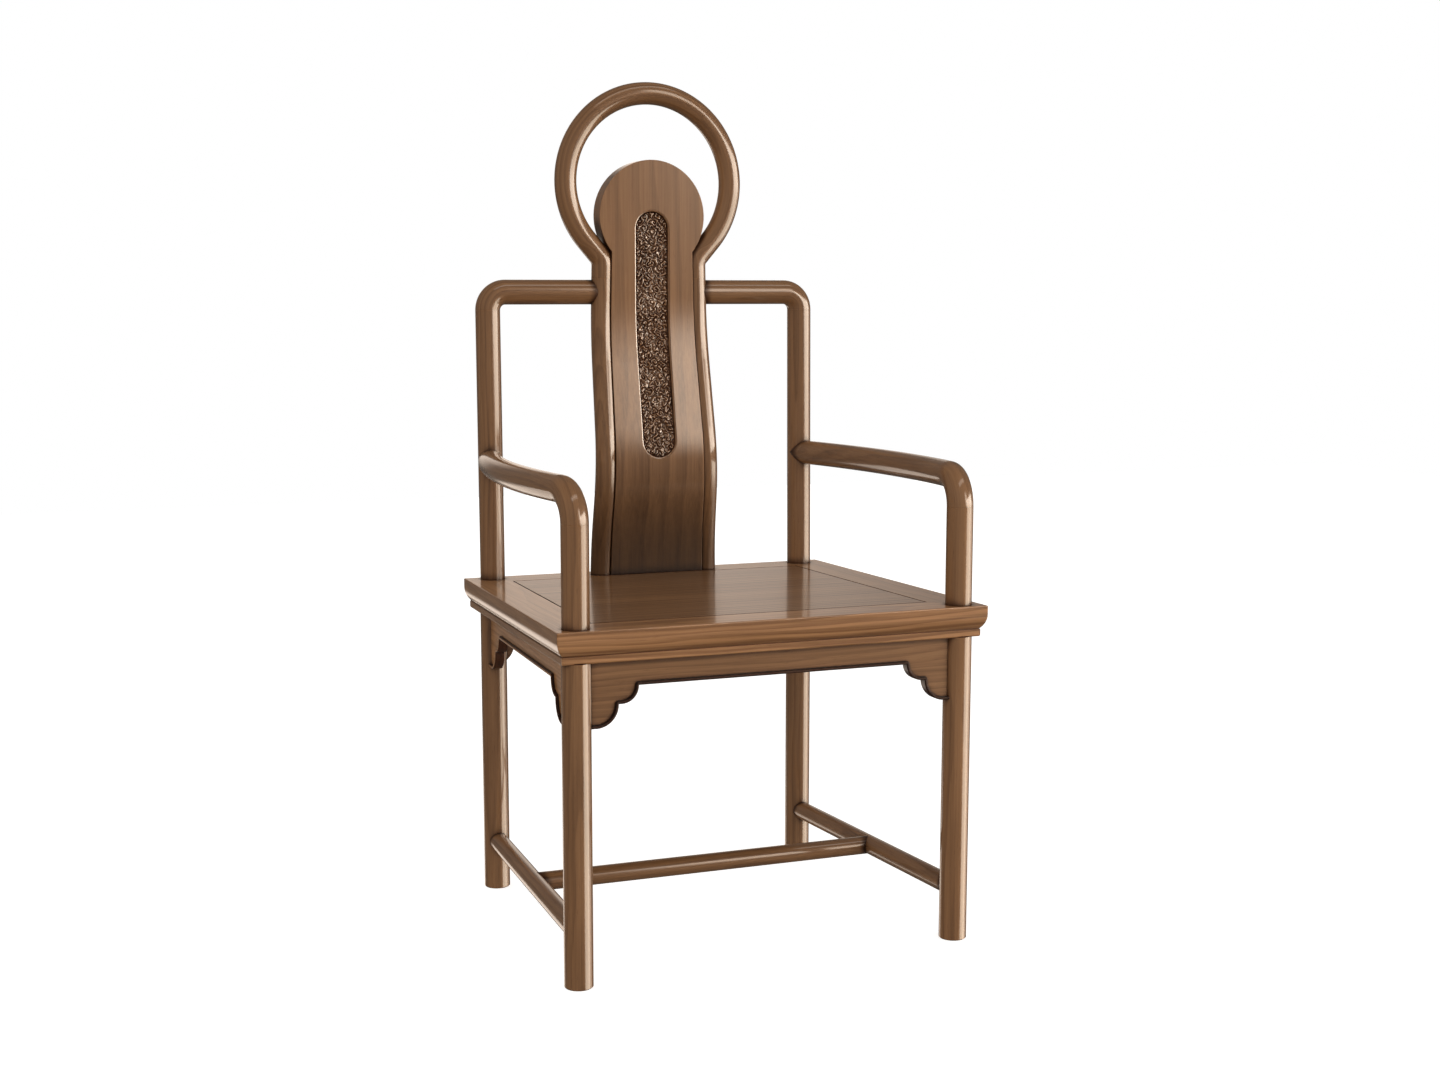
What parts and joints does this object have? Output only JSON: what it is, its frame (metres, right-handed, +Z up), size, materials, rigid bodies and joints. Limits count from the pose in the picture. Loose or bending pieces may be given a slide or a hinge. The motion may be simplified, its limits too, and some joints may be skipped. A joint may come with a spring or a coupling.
{
  "type": "armchair",
  "caption": "Open-armed wooden armchair with round posts, a square back frame, a keyhole ring around an S-curved carved splat, lobed aprons and an H stretcher.",
  "frame": {"origin": "on the floor, in the middle of the bounding box of the chair's plan", "axes": "+X to the sitter's left, which is the right in a front view; -Y the way the sitter faces; +Z up"},
  "size_m": [0.625, 0.532, 1.2238],
  "materials": {
    "walnut_rods": "satin lacquer over fine straight grain",
    "walnut_seat": "satin lacquer over fine straight grain",
    "walnut_panel": "satin lacquer over fine straight grain",
    "walnut_aprons": "satin lacquer over fine straight grain",
    "walnut_splat": "satin lacquer over fine straight grain",
    "walnut_carving": "satin lacquer over fine straight grain",
    "bare_walnut": "unfinished joint surface"
  },
  "bodies": {
    "root": {"left_front_leg": "walnut_rods", "right_front_leg": "walnut_rods", "left_back_leg": "walnut_rods", "right_back_leg": "walnut_rods", "left_arm_post": "walnut_rods", "right_arm_post": "walnut_rods", "left_back_post": "walnut_rods", "right_back_post": "walnut_rods", "seat_front_rail": "walnut_seat", "seat_back_rail": "walnut_seat", "seat_left_rail": "walnut_seat", "seat_right_rail": "walnut_seat", "seat_panel": "walnut_panel", "left_panel_batten": "walnut_panel", "right_panel_batten": "walnut_panel", "mitre_splines": "bare_walnut", "front_apron": "walnut_aprons", "back_apron": "walnut_aprons", "left_side_apron": "walnut_aprons", "right_side_apron": "walnut_aprons", "left_arm": "walnut_rods", "right_arm": "walnut_rods", "left_top_rail": "walnut_rods", "right_top_rail": "walnut_rods", "ring_crown": "walnut_rods", "left_ring_shoulder": "walnut_rods", "right_ring_shoulder": "walnut_rods", "ring_dowels": "bare_walnut", "left_stile": "walnut_rods", "right_stile": "walnut_rods", "splat": "walnut_splat", "carved_panel": "walnut_carving", "splat_dowels": "bare_walnut", "left_side_stretcher": "walnut_rods", "right_side_stretcher": "walnut_rods", "cross_stretcher": "walnut_rods"}
  },
  "joints": []
}
